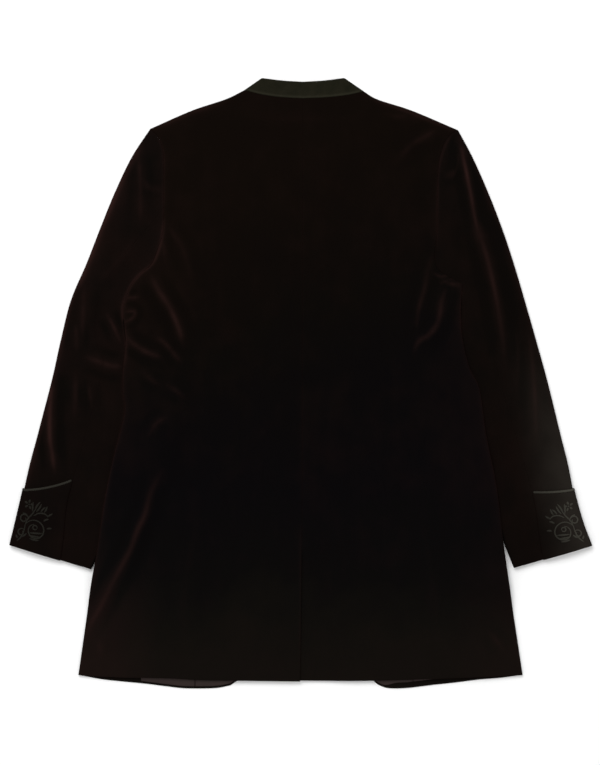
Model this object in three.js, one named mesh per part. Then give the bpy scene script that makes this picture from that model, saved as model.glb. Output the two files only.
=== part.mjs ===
// A long velvet coat laid face down on a flat surface, with the fronts against the surface and the back
// on top. Units are millimetres, +Z is up, +Y runs from the hem to the collar, and X = 0 is the middle of
// the coat. Left and right are the wearer's, so the left side lies at negative X.
import * as THREE from 'three';

// Cloth, gaps between layers and seams
const WALL = 2.6;
const SEAM_GAP = 0.3;
const ARMHOLE_GAP = 0.4;
const LAYER_GAP = 1.0;
const FLAT = 2 * WALL + LAYER_GAP; // a front and a back, or the two sides of a sleeve, pressed together
const EDGE_ROUND = 3;
const EDGE_WALL = 1.3; // where two pieces meet at a shoulder or side seam
const FILL = 2.6; // how much further the back stands off the fronts in the middle
const FILL_REACH = 60;
const LAP_LIFT = WALL + 0.4; // the right front lies on the left one
const LAP_REACH = [30, 80];
const LAP_END = -275; // the fronts part above this height
const LAP_FADE = 70;
const VENT_DROP = WALL + 0.3;

// Buttons under the left front, which hold the middle of the coat off the surface
const BUTTON_RADIUS = 11.5;
const BUTTON_THICK = 3;
const BUTTON_YS = [320, 235, 150, 65];
const BUTTON_LIFT = BUTTON_THICK + 0.3;
const BUTTON_REACH = [18, 78];

// Where the body lies on the sleeves
const SLEEVE_LIFT = FLAT + 0.6;
const SLEEVE_LIFT_REACH = [22, 75];
const CUFF_LIFT_FROM = { y: -40, over: 70 }; // and by the cuff's cloth too, further down

// Cuffs, piping and collar
const CUFF_WALL = 2;
const CUFF_GAP = 0.5;
const CUFF_LIFT = CUFF_WALL + CUFF_GAP;
const CUFF_TOP = { edge: 9.95, left: 8.95, right: 9.45 }; // in sleeve sections, at the edge and the seams
const PIPING_HALF_WIDTH = 2;
const COLLAR_WALL = 2.4;
const COLLAR_SIDE = [24, 18]; // the collar's height at its side folds, as a step from the neckline
const COLLAR_FRONT = [0, 28]; // and at the centre front

// Numbers of steps along the cut edges
const STEPS = { armhole: 10, neckBack: 5, neckFront: 6, shoulder: 6 };
const SIDE_STEPS = [1, 2, 3, 4, 5, 6, 7, 8, 9, 10, 11, 12, 13, 14].map((n) => n / 15);
const HEM_STEPS = [0.965, 0.98, 0.991, 1];
const HIND_SEAM = 4; // the sleeve's column, of 10, where its hind-arm seam runs, on top
const FORE_SEAM = 8; // and its forearm seam, beneath

// Outlines of the two sides, each a run of x, y points
const CENTRE_BACK = { top: [3, 425], vent: [2, -215], hem: [-1, -449] };
const OUTLINE = {
  left: {
    neckBack: [[3, 425], [-31, 427], [-58, 431], [-85, 438]],
    neckFront: [[0, 361], [-30, 367], [-56, 385], [-73, 410], [-85, 438]],
    shoulder: [[-85, 438], [-109, 426], [-162, 408], [-226, 380]],
    armhole: [[-226, 380], [-214, 368], [-207, 348], [-206, 285], [-207, 224], [-216, 197], [-224, 177],
      [-242, 161], [-257, 141], [-267, 108]],
    side: [[-267, 108], [-264, 82], [-262, 60], [-266, 21], [-266, -18], [-263, -39], [-282, -120],
      [-294, -180], [-304, -249], [-312, -290], [-334, -440]],
    hemBack: [[-1, -449], [-96, -449], [-261, -447], [-334, -440]],
    hemFront: [[-115, -455], [-150, -456], [-190, -456], [-240, -451], [-286, -447], [-334, -440]],
    frontEdge: [[20, 358], [20, -72], [6, -177], [-24, -297], [-58, -387], [-84, -429], [-96, -444],
      [-115, -455]],
    collarTop: [[-59, 456], [-28, 452], [3, 450]],
  },
  right: {
    neckBack: [[3, 425], [44, 427], [74, 431], [95, 436]],
    neckFront: [[0, 361], [32, 367], [60, 385], [81, 410], [95, 436]],
    shoulder: [[95, 436], [111, 426], [165, 408], [236, 378]],
    armhole: [[236, 378], [222, 369], [213, 353], [207, 327], [205, 275], [204, 216], [201, 186],
      [207, 168], [222, 158], [243, 147]],
    side: [[243, 147], [240, 118], [240, 93], [242, 66], [254, 18], [266, -5], [278, -82], [290, -140],
      [297, -186], [303, -238], [333, -440]],
    hemBack: [[-1, -448], [111, -448], [333, -440]],
    hemFront: [[125, -455], [145, -456], [168, -456], [195, -453], [246, -447], [333, -440]],
    frontEdge: [[-20, 358], [-20, -72], [-6, -177], [24, -297], [62, -380], [92, -425], [107, -443],
      [125, -455]],
    collarTop: [[66, 456], [35, 452], [3, 450]],
  },
};

// Sleeve sections, shoulder to hem: outer edge x, y, inner edge x, y, and the hind-arm seam's place
// across, as a share of the width. The first row is the armhole's two ends.
const SLEEVE = {
  left: [
    [-226, 380, -267.8, 108, 0.42],
    [-253, 339, -267, 84, 0.42],
    [-279, 285, -265.5, 72, 0.42],
    [-301, 231, -264.5, 60, 0.42],
    [-322, 177, -258, 46, 0.42],
    [-345, 123, -231, 28, 0.43],
    [-361, 60, -212, 0, 0.44],
    [-373, 6, -224, -50, 0.45],
    [-394, -75, -250, -122, 0.46],
    [-408, -129, -272, -175, 0.48],
    [-416, -165, -287, -212, 0.5],
    [-427, -212, -300, -252, 0.56],
    [-435, -245, -315, -282, 0.62],
  ],
  right: [
    [236, 378, 244.2, 147.2, 0.42],
    [257, 339, 245.5, 128, 0.42],
    [281, 285, 242.5, 112, 0.42],
    [302, 231, 241, 98, 0.42],
    [320, 177, 236, 82, 0.42],
    [336, 123, 222, 50, 0.43],
    [354, 60, 212, 5, 0.44],
    [369, 6, 226, -48, 0.45],
    [389, -75, 254, -120, 0.46],
    [402, -129, 278, -172, 0.48],
    [409, -165, 294, -210, 0.5],
    [422, -212, 308, -250, 0.56],
    [435, -246, 320, -280, 0.62],
  ],
};
const SLEEVE_ROWS = 15;
const BULGE_SECTIONS = 5; // how far down the sleeve the armhole's curve is felt
const BULGE_BY_UNDERARM = 0.6; // and how far near the underarm
const SLEEVE_FILL = 2.2;
const SLEEVE_FILL_SHARE = 0.62; // the rest of the width lies flat under the body

// The strips of the sleeves that the body lies on: each runs down its sleeve's inner edge, then back up
// outside the body
const UNDER_BODY = {
  left: [[-270, 52], [-258, 46], [-231, 28], [-212, 0], [-224, -50], [-250, -122], [-287, -212],
    [-315, -282], [-340, -282], [-310, -200], [-285, -39]],
  right: [[248, 90], [236, 82], [222, 50], [212, 5], [226, -48], [254, -120], [294, -210], [320, -280],
    [345, -280], [310, -200], [285, -39], [262, 40]],
};

// Main folds: height, half width, and the ridge's x, y points
const FOLDS = {
  back: [
    [3.5, 12, [[-223, 158], [-204, 122], [-187, 96], [-177, 60]]],
    [3, 13, [[-213, -144], [-231, -186], [-255, -248], [-280, -297], [-304, -347], [-325, -392]]],
    [3.5, 12, [[194, 171], [185, 132], [176, 102], [167, 54]]],
    [3, 11, [[210, 132], [212, 105], [200, 83], [177, 51]]],
  ],
  sleeve: [
    [3, 10, [[-371, 3], [-375, -35], [-375, -83], [-371, -110], [-369, -129]]],
    [2, 11, [[-334, 83], [-337, 27]]],
    [2.5, 11, [[-294, 99], [-274, 66]]],
    [3, 11, [[250, 327], [259, 275], [264, 230], [275, 191], [287, 144], [294, 116], [299, 86]]],
    [2, 10, [[347, 18], [353, -54], [352, -98]]],
  ],
};

// Vent underlap, cut on the right back
const VENT = { top: -302, slope: 26, width: 35, dropFrom: -237, dropTo: -272, reach: [26, 84] };

// Strips inside the front hems that the back doesn't cover: x of each end, and the strip's upper edge
const INSIDE = {
  lining_left: { side: 'left', from: -240, to: -159, top: -405 },
  facing_left: { side: 'left', from: -158.6, to: -76, top: -402 },
  facing_right: { side: 'right', from: 84, to: 168, top: -402 },
  lining_right: { side: 'right', from: 168.4, to: 248, top: -405 },
};
const INSIDE_WALL = 1;
const INSIDE_SETBACK = 1.5;

const velvet = () => new THREE.MeshStandardMaterial({ color: 0x140707, roughness: 0.9 });
const felt = () => new THREE.MeshStandardMaterial({ color: 0x20261b, roughness: 0.95 });
const cord = () => new THREE.MeshStandardMaterial({ color: 0x26302a, roughness: 0.7 });
const satin = () => new THREE.MeshStandardMaterial({ color: 0x4a4046, roughness: 0.45 });
const horn = () => new THREE.MeshStandardMaterial({ color: 0x1c1512, roughness: 0.4 });

const coat = new THREE.Group();

// Plain arithmetic on numbers and on [x, y] points
const clamp01 = (a) => Math.min(1, Math.max(0, a));
const ease = (a) => clamp01(a) ** 2 * (3 - 2 * clamp01(a));
const fall = (a, [from, to]) => 1 - ease((a - from) / (to - from));
const mix = (a, b, t) => a.map((v, n) => v + (b[n] - v) * t);
const add = (a, b, by = 1) => a.map((v, n) => v + b[n] * by);
const sub = (a, b) => a.map((v, n) => v - b[n]);
const length = (a, b) => Math.hypot(b[0] - a[0], b[1] - a[1]);

// Distance from a point to a run of points
function distance(p, points) {
  let nearest = Infinity;
  for (let n = 1; n < points.length; n++) {
    const step = sub(points[n], points[n - 1]);
    const from = sub(p, points[n - 1]);
    const along = clamp01((from[0] * step[0] + from[1] * step[1]) / (step[0] ** 2 + step[1] ** 2));
    nearest = Math.min(nearest, length(p, add(points[n - 1], step, along)));
  }
  return nearest;
}

function inside(p, polygon) {
  let within = false;
  polygon.forEach((a, n) => {
    const b = polygon[(n + 1) % polygon.length];
    const crosses = (a[1] > p[1]) !== (b[1] > p[1]);
    if (crosses && p[0] < a[0] + ((b[0] - a[0]) * (p[1] - a[1])) / (b[1] - a[1])) within = !within;
  });
  return within;
}

// Points on a smooth curve through a table's points, at the given shares of its length
function curveAt(points, shares) {
  const curve = new THREE.CatmullRomCurve3(
    points.map(([x, y]) => new THREE.Vector3(x, y, 0)), false, 'centripetal');
  return shares.map((share) => {
    const p = curve.getPointAt(share);
    return [p.x, p.y];
  });
}
const evenly = (steps) => Array.from({ length: steps + 1 }, (_, n) => n / steps);

// The point of a run whose y is given; the run goes steadily down
function pointAtY(points, y) {
  for (let n = 1; n < points.length; n++) {
    if (y >= points[n][1]) {
      const share = clamp01((y - points[n - 1][1]) / (points[n][1] - points[n - 1][1]));
      return mix(points[n - 1], points[n], share);
    }
  }
  return points.at(-1);
}

// Moves a run of points sideways, to the left of its direction of travel
function offset(points, by) {
  return points.map((p, n) => {
    const step = sub(points[Math.min(n + 1, points.length - 1)], points[Math.max(n - 1, 0)]);
    const size = Math.hypot(...step);
    return add(p, [-step[1] / size, step[0] / size], by);
  });
}

// Sum of the fold ridges at a point
function ridge(p, folds) {
  return folds.reduce((sum, [height, halfWidth, line]) =>
    sum + height * Math.exp(-((distance(p, line) / halfWidth) ** 2)), 0);
}

// How far everything in the body is lifted at a point: over the buttons, and over the sleeves
function lift(p) {
  const middle = fall(Math.abs(p[0]), BUTTON_REACH);
  const upper = fall(p[1] - BUTTON_YS[0], BUTTON_REACH);
  const lower = fall(BUTTON_YS.at(-1) - p[1], BUTTON_REACH);
  const strip = p[0] < 0 ? UNDER_BODY.left : UNDER_BODY.right;
  const away = inside(p, strip) ? 0 : distance(p, [...strip, strip[0]]);
  const cuff = CUFF_LIFT * ease((CUFF_LIFT_FROM.y - p[1]) / CUFF_LIFT_FROM.over);
  return BUTTON_LIFT * middle * upper * lower + (SLEEVE_LIFT + cuff) * fall(away, SLEEVE_LIFT_REACH);
}

// How far the right front lies above the left one
function lap(x, y) {
  return LAP_LIFT * fall(x, LAP_REACH) * ease((y - LAP_END) / LAP_FADE);
}

// A closed mesh from faces given as loops of points
function solid(name, loops, material) {
  const positions = [];
  const points = [];
  const index = [];
  const known = new Map();
  const number = (p) => {
    const key = p.map((v) => v.toFixed(4)).join();
    if (!known.has(key)) {
      known.set(key, points.length);
      points.push(p);
      positions.push(...p);
    }
    return known.get(key);
  };
  for (const loop of loops) {
    const corners = loop.map(number);
    for (let n = 2; n < corners.length; n++) index.push([corners[0], corners[n - 1], corners[n]]);
  }
  const volume = index.reduce((sum, [a, b, c]) => sum + new THREE.Vector3(...points[a])
    .dot(new THREE.Vector3(...points[b]).cross(new THREE.Vector3(...points[c]))), 0);
  const geometry = new THREE.BufferGeometry();
  geometry.setAttribute('position', new THREE.Float32BufferAttribute(positions, 3));
  geometry.setIndex(index.flatMap(([a, b, c]) => (volume > 0 ? [a, b, c] : [a, c, b])));
  geometry.computeVertexNormals();
  const mesh = new THREE.Mesh(geometry, material);
  mesh.name = name;
  coat.add(mesh);
  return mesh;
}

// A sheet of cloth from rows of { face, back } point pairs, closed round its four sides
function sheet(name, rows, material) {
  const loops = [];
  const last = { row: rows.length - 1, col: rows[0].length - 1 };
  const rim = (a, b) => loops.push([a.face, b.face, b.back, a.back]);
  for (let r = 0; r < last.row; r++) {
    for (let c = 0; c < last.col; c++) {
      const square = [rows[r][c], rows[r][c + 1], rows[r + 1][c + 1], rows[r + 1][c]];
      loops.push(square.map((q) => q.face).reverse());
      loops.push([square[3].back, square[0].back, square[1].back, square[2].back]);
    }
  }
  for (let c = 0; c < last.col; c++) {
    rim(rows[0][c], rows[0][c + 1]);
    rim(rows[last.row][c + 1], rows[last.row][c]);
  }
  for (let r = 0; r < last.row; r++) {
    rim(rows[r + 1][0], rows[r][0]);
    rim(rows[r][last.col], rows[r + 1][last.col]);
  }
  return solid(name, loops, material);
}

// Body panels share their side points row by row, so that fronts and backs meet at the same places
function sidePoints(side) {
  const armhole = curveAt(OUTLINE[side].armhole, evenly(STEPS.armhole));
  const step = sub(armhole[1], armhole[0]);
  const second = add(armhole[0], step, EDGE_ROUND / Math.hypot(...step));
  const down = curveAt(OUTLINE[side].side, [...SIDE_STEPS, ...HEM_STEPS]);
  return { points: [armhole[0], second, ...armhole.slice(1), ...down], underarm: armhole.length };
}

// Plan of one panel: its rows run from the inner edge to the side, and its columns from top to hem
function panelPlan(side, innerEdge, topRuns, bottom) {
  const { points: outer, underarm } = sidePoints(side);
  const top = topRuns.flatMap((run, n) => (n ? run.slice(1) : run));
  const end = top.at(-1);
  const near = mix(end, top.at(-2), EDGE_ROUND / length(end, top.at(-2)));
  top.splice(top.length - 1, 0, near);
  const reach = top.map((p, n) => top.slice(1, n + 1).reduce((sum, q, m) => sum + length(top[m], q), 0));
  const shares = reach.map((s) => s / reach.at(-1));
  const hem = curveAt(bottom, shares);
  const innerTop = innerEdge[0];
  const innerHem = innerEdge.at(-1);
  const plan = outer.map((out, r) => {
    const above = (out[1] - outer[underarm][1]) / (outer[0][1] - outer[underarm][1]);
    const below = (out[1] - outer.at(-1)[1]) / (outer[underarm][1] - outer.at(-1)[1]);
    const level = outer[underarm][1];
    const y = r <= underarm ? level + (innerTop[1] - level) * above
      : innerHem[1] + (level - innerHem[1]) * below;
    const inner = pointAtY(innerEdge, y);
    const down = (outer[0][1] - out[1]) / (outer[0][1] - outer.at(-1)[1]);
    return top.map((_, c) => {
      const share = c === top.length - 2 ? 1 - EDGE_ROUND / length(inner, out) : shares[c];
      const fromTop = sub(top[c], mix(top[0], end, shares[c]));
      const fromHem = sub(hem[c], mix(hem[0], hem.at(-1), shares[c]));
      return add(add(mix(inner, out, share), fromTop, (1 - down) ** 5), fromHem, down ** 8);
    });
  });
  return { plan, underarm, lastCol: top.length - 1 };
}

// How far the back stands off the fronts, more in the middle than by its seams
function fill(p, edge) {
  return FILL * ease(distance(p, edge) / FILL_REACH);
}

function seamEdge(side) {
  return [...OUTLINE[side].shoulder, ...OUTLINE[side].armhole.slice(1), ...OUTLINE[side].side.slice(1)];
}

// Back panels. The vent's underlap is the right panel's own edge, dropped under the left one.
function backPanel(side) {
  const sign = side === 'left' ? -1 : 1;
  const { top, vent, hem } = CENTRE_BACK;
  const seam = [top, vent, hem].map(([x, y]) => [x + (sign * SEAM_GAP) / 2, y]);
  const underlapEdge = [seam[0], seam[1], [1.5, VENT.top], [1 - VENT.width, VENT.top - VENT.slope],
    [-1 - VENT.width, hem[1] + 1]];
  const inner = side === 'left' ? seam : underlapEdge;
  const outline = OUTLINE[side];
  const hemRun = [inner.at(-1), ...outline.hemBack.slice(side === 'left' ? 1 : 0)];
  const neck = curveAt([inner[0], ...outline.neckBack.slice(1)], evenly(STEPS.neckBack));
  const shoulder = curveAt(outline.shoulder, evenly(STEPS.shoulder));
  const { plan, underarm, lastCol } = panelPlan(side, inner, [neck, shoulder], hemRun);
  const edge = seamEdge(side);
  const rows = plan.map((row, r) => row.map((p, c) => {
    const seamed = (r === 0 && c >= STEPS.neckBack) || (c === lastCol && r >= underarm);
    const drop = side === 'left' ? 0
      : VENT_DROP * fall(p[0], VENT.reach) * ease((VENT.dropFrom - p[1]) / (VENT.dropFrom - VENT.dropTo));
    const under = FLAT - WALL + lift(p) + fill(p, edge) + ridge(p, FOLDS.back) - drop;
    const low = seamed ? FLAT / 2 + SEAM_GAP / 2 + lift(p) : under;
    const high = seamed ? low + EDGE_WALL : under + WALL;
    return { face: [...p, high], back: [...p, low] };
  }));
  sheet(`back_${side}`, rows, velvet());
}

// Front panels, with their outer side against the surface. The right one rises over the left one's edge.
function frontPanel(side) {
  const outline = OUTLINE[side];
  const neck = curveAt(outline.neckFront, evenly(STEPS.neckFront));
  const shoulder = curveAt(outline.shoulder, evenly(STEPS.shoulder));
  const topRuns = [[outline.frontEdge[0], neck[0]], neck, shoulder];
  const { plan, underarm, lastCol } = panelPlan(side, outline.frontEdge, topRuns, outline.hemFront);
  const rows = plan.map((row, r) => row.map((p, c) => {
    const seamed = (r === 0 && c > STEPS.neckFront) || (c === lastCol && r >= underarm);
    const level = lift(p) + (side === 'right' ? lap(...p) : 0);
    const high = seamed ? FLAT / 2 - SEAM_GAP / 2 + level : WALL + level;
    const low = seamed ? high - EDGE_WALL : level;
    return { face: [...p, low], back: [...p, high] };
  }));
  sheet(`front_${side}`, rows, velvet());
}

// A sleeve as a flattened tube. Its places are a section number k down the arm, a column round the tube,
// and an offset out of the cloth's outer face.
function makeSleeve(side) {
  const table = SLEEVE[side];
  const outerSide = side === 'left' ? -1 : 1;
  const armhole = offset(curveAt(OUTLINE[side].armhole, evenly(STEPS.armhole)), outerSide * ARMHOLE_GAP);
  armhole[STEPS.armhole] = table[0].slice(2, 4);
  const lengthRound = armhole.slice(1).reduce((sum, p, n) => sum + length(armhole[n], p), 0);
  const spline = (from) => new THREE.CatmullRomCurve3(
    table.map((row) => new THREE.Vector3(row[from], row[from + 1], row[4])), false, 'centripetal');
  const [outer, inner] = [spline(0), spline(2)];
  const last = table.length - 1;
  const half = FLAT / 2;

  function section(k) {
    const o = outer.getPoint(k / last);
    const i = inner.getPoint(k / last);
    const [a, b] = [[o.x, o.y], [i.x, i.y]];
    const extra = lengthRound - length(armhole[0], armhole.at(-1));
    return { k, a, b, hind: o.z, width: length(a, b) + extra * clamp01(1 - k) };
  }

  const s0 = section(0);

  function plan(s, t) {
    const place = clamp01(t) * STEPS.armhole;
    const n = Math.min(Math.floor(place), STEPS.armhole - 1);
    const onArmhole = mix(armhole[n], armhole[n + 1], place - n);
    const bulge = sub(onArmhole, mix(s0.a, s0.b, clamp01(t)));
    const reach = BULGE_BY_UNDERARM + BULGE_SECTIONS * (1 - ease((t - 0.35) / 0.4));
    return add(mix(s.a, s.b, t), bulge, clamp01(1 - s.k / reach) ** 1.5);
  }

  return (k, column, out) => {
    const s = section(k);
    let t;
    let z;
    if (column.turn !== undefined) {
      const reach = half - (half + out) * Math.cos(column.turn);
      t = column.edge === 'outer' ? reach / s.width : 1 - reach / s.width;
      z = half + (half + out) * Math.sin(column.turn);
    } else {
      const { n, up } = column;
      const bend = n <= HIND_SEAM ? n / HIND_SEAM : (STEPS.armhole - n) / (STEPS.armhole - HIND_SEAM);
      t = n / STEPS.armhole + (s.hind - HIND_SEAM / STEPS.armhole) * bend + (column.gap ?? 0) / s.width;
      const puff = up * SLEEVE_FILL * Math.sin(Math.PI * clamp01(t / SLEEVE_FILL_SHARE)) ** 2;
      z = half + (up ? 1 : -1) * (half + out) + puff * ease(k / 2);
    }
    const p = plan(s, t);
    const body = lift(plan(s0, t)) * clamp01(1 - k / 3);
    const folds = column.up ? ridge(p, FOLDS.sleeve) * ease(k) : 0;
    return [...p, z + body + folds + CUFF_LIFT * ease((k - 8.2) / 0.6)];
  };
}

// Columns round the sleeve: flat ones numbered by tenths of the width, and the turns at its two edges
const flat = (n, up, gap) => ({ n, up, gap });
const turns = (edge, angles) => angles.map((degrees) => ({ edge, turn: THREE.MathUtils.degToRad(degrees) }));
const UPPER_COLUMNS = [
  flat(FORE_SEAM, 0, -SEAM_GAP / 2), ...[7, 6, 5, 4, 3, 2, 1].map((n) => flat(n, 0)),
  ...turns('outer', [-90, -45, 0, 45, 90]),
  ...[1, 2, 3].map((n) => flat(n, 1)), flat(HIND_SEAM, 1, -SEAM_GAP / 2),
];
const UNDER_COLUMNS = [
  flat(HIND_SEAM, 1, SEAM_GAP / 2), ...[5, 6, 7, 8, 9].map((n) => flat(n, 1)),
  ...turns('inner', [90, 45, 0, -45, -90]),
  flat(9, 0), flat(FORE_SEAM, 0, SEAM_GAP / 2),
];

// The cuff's top edge, as a section number: highest at the hind-arm seam, lowest at the sleeve's edge
function cuffTop(side, column) {
  const across = column.turn === undefined ? Math.min(1, column.n / HIND_SEAM) : 0;
  return CUFF_TOP.edge + (CUFF_TOP[side] - CUFF_TOP.edge) * across ** 1.3;
}

function sleeveSet(side) {
  const place = makeSleeve(side);
  const lastSection = SLEEVE[side].length - 1;
  const cloth = (columns) => evenly(SLEEVE_ROWS).map((share) => columns.map((column) => {
    const k = share * (lastSection - 0.04);
    return { face: place(k, column, 0), back: place(k, column, -WALL) };
  }));
  sheet(`upper_sleeve_${side}`, cloth(UPPER_COLUMNS), velvet());
  sheet(`under_sleeve_${side}`, cloth(UNDER_COLUMNS), velvet());

  const cuff = evenly(6).map((share) => UPPER_COLUMNS.map((column) => {
    const k = cuffTop(side, column) + (lastSection - cuffTop(side, column)) * share;
    return { face: place(k, column, CUFF_LIFT), back: place(k, column, CUFF_GAP) };
  }));
  sheet(`cuff_${side}`, cuff, velvet());

  // Piping is a flattened cord of eight sides along the cuff's edge
  const sectionLength = length(SLEEVE[side][9], SLEEVE[side][10]);
  const rings = UPPER_COLUMNS.map((column) => evenly(8).slice(0, 8).map((share) => {
    const angle = share * 2 * Math.PI;
    const halfHeight = column.up ? 1.5 : CUFF_WALL / 2;
    const k = cuffTop(side, column) - (PIPING_HALF_WIDTH * (1 - Math.cos(angle)) + 0.6) / sectionLength;
    return place(k, column, CUFF_GAP + halfHeight * (1 + Math.sin(angle)));
  }));
  const loops = [rings[0], [...rings.at(-1)].reverse()];
  for (let r = 1; r < rings.length; r++) {
    rings[r].forEach((p, n) => {
      const next = (n + 1) % rings[r].length;
      loops.push([rings[r - 1][next], rings[r - 1][n], p, rings[r][next]]);
    });
  }
  solid(`cuff_piping_${side}`, loops, cord());
}

// The stand collar: a flattened ring from the centre front, round both side folds, to the centre front
function collar() {
  const heights = [0, 0.5, 1];
  const half = FLAT / 2;
  const puff = (p, side) => FILL * ease(length(p, OUTLINE[side].shoulder[0]) / FILL_REACH);

  function frontHalf(side, row) {
    const outline = OUTLINE[side];
    const inwards = side === 'left' ? -1 : 1;
    const neck = offset(curveAt(outline.neckFront, evenly(STEPS.neckFront)), inwards * SEAM_GAP);
    const sideStep = [-inwards * COLLAR_SIDE[0], COLLAR_SIDE[1]];
    return neck.slice(0, -1).map((p, n) => {
      const low = n === 0 ? [inwards * SEAM_GAP / 2, p[1]] : p;
      const xy = add(low, mix(COLLAR_FRONT, sideStep, n / STEPS.neckFront), row);
      const z = lift(xy) + (side === 'right' ? lap(...xy) : 0);
      return { face: [...xy, z], back: [...xy, z + COLLAR_WALL] };
    });
  }

  function sideFold(side, row) {
    const outline = OUTLINE[side];
    const fold = mix(add(outline.neckBack.at(-1), [0, SEAM_GAP]), outline.collarTop[0], row);
    const along = sub(outline.neckBack.at(-2), outline.neckBack.at(-1));
    const inward = mix(along.map((v) => v / Math.hypot(...along)), [-Math.sign(fold[0]), 0], row);
    return [-90, -45, 0, 45, 90].map((degrees) => {
      const turn = THREE.MathUtils.degToRad(degrees);
      const at = (radius) => [...add(fold, inward, half - radius * Math.cos(turn)),
        half + radius * Math.sin(turn)];
      return { face: at(half), back: at(half - COLLAR_WALL) };
    });
  }

  function backHalf(side, row) {
    const outline = OUTLINE[side];
    const neck = curveAt(outline.neckBack, evenly(STEPS.neckBack)).reverse();
    const top = curveAt(outline.collarTop, evenly(STEPS.neckBack));
    return neck.slice(1).map((p, n) => {
      const xy = mix(add(p, [0, SEAM_GAP]), top[n + 1], row);
      const z = FLAT + puff(xy, side);
      return { face: [...xy, z], back: [...xy, z - COLLAR_WALL] };
    });
  }

  const rows = heights.map((row) => [
    ...frontHalf('left', row), ...sideFold('left', row), ...backHalf('left', row),
    ...backHalf('right', row).reverse().slice(1), ...sideFold('right', row).reverse(),
    ...frontHalf('right', row).reverse(),
  ]);
  sheet('collar', rows, felt());
}

// Strips of facing and lining on the inner face of the fronts, along the hem
function insideStrip(name, { side, from, to, top }) {
  const { frontEdge, hemFront } = OUTLINE[side];
  const run = [...frontEdge.slice(-5, -1), ...hemFront];
  const hemAt = (x) => {
    const n = run.findIndex((p, m) => m && (run[m - 1][0] - x) * (p[0] - x) <= 0);
    return mix(run[n - 1], run[n], (x - run[n - 1][0]) / (run[n][0] - run[n - 1][0]))[1];
  };
  const rows = [0, 0.5, 1].map((share) => evenly(7).map((across) => {
    const x = from + (to - from) * across;
    const y = mix([hemAt(x) + INSIDE_SETBACK], [top], share)[0];
    const z = WALL + SEAM_GAP + lift([x, y]);
    return { face: [x, y, z + INSIDE_WALL], back: [x, y, z] };
  }));
  sheet(name, rows, satin());
}

// Plain round buttons, face down
function button(name, y) {
  const rim = BUTTON_RADIUS;
  const profile = [[0, 0], [rim - 0.8, 0], [rim, 0.8], [rim, BUTTON_THICK - 0.6],
    [rim - 0.6, BUTTON_THICK], [0, BUTTON_THICK]];
  const shape = new THREE.LatheGeometry(profile.map(([r, z]) => new THREE.Vector2(r, z)), 16);
  shape.rotateX(Math.PI / 2);
  const mesh = new THREE.Mesh(shape, horn());
  mesh.name = name;
  mesh.position.set(0, y, 0);
  coat.add(mesh);
}

for (const side of ['left', 'right']) {
  frontPanel(side);
  backPanel(side);
  sleeveSet(side);
}
collar();
for (const [name, strip] of Object.entries(INSIDE)) insideStrip(name, strip);
BUTTON_YS.forEach((y, n) => button(`button_${n + 1}`, y));

export default coat;
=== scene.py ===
import math

import bmesh
import bpy
import numpy as np
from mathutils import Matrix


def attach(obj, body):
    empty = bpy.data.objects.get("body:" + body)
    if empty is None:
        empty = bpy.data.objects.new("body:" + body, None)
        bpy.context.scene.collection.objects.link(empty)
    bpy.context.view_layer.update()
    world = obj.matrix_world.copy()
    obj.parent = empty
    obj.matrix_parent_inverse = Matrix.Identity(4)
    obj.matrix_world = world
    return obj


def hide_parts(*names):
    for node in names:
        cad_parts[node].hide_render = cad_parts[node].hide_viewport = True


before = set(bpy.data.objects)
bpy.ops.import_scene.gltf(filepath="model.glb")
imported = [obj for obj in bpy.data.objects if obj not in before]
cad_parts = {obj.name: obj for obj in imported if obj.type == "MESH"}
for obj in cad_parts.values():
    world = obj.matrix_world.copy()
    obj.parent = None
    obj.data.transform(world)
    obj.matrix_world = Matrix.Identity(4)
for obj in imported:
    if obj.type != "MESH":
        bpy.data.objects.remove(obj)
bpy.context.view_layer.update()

# Camera: it hangs straight above the coat and looks down, with the collar at the top of the picture.
# A long lens keeps the flat coat free of perspective, and one pixel is about 1.5 mm on the cloth.
camera = bpy.data.objects.new("camera", bpy.data.cameras.new("camera"))
camera.data.sensor_fit = "HORIZONTAL"
camera.data.sensor_width = 36
camera.data.lens = 120
camera.location = (-0.0012, -0.0008, 3.006)
bpy.context.collection.objects.link(camera)
bpy.context.scene.camera = camera

# Studio: a near-white floor under a pale dome, with one large soft light high on the collar's side. It
# leaves only a faint shadow where the cloth meets the floor.
bpy.context.scene.view_settings.view_transform = "Standard"
bpy.ops.mesh.primitive_plane_add(size=12)
floor = bpy.context.object
floor.name = "floor"
floor_paint = bpy.data.materials.new("floor_paint")
floor_paint.use_nodes = True
floor_surface = floor_paint.node_tree.nodes["Principled BSDF"]
for name, value in (("Base Color", (0.92, 0.92, 0.92, 1)), ("Roughness", 0.9), ("Specular IOR Level", 0.1)):
    floor_surface.inputs[name].default_value = value
floor.data.materials.append(floor_paint)

dome = bpy.data.worlds.new("dome")
dome.use_nodes = True
sky = dome.node_tree.nodes["Background"].inputs
sky["Color"].default_value = (1, 1, 1, 1)
sky["Strength"].default_value = 0.82
bpy.context.scene.world = dome

softbox = bpy.data.objects.new("softbox", bpy.data.lights.new("softbox", "AREA"))
softbox.data.shape = "DISK"
softbox.data.size = 1.6
softbox.data.energy = 42
softbox.location = (-0.7, 1.3, 2.3)
softbox.rotation_euler = (-0.52, -0.26, 0)
bpy.context.collection.objects.link(softbox)

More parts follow.
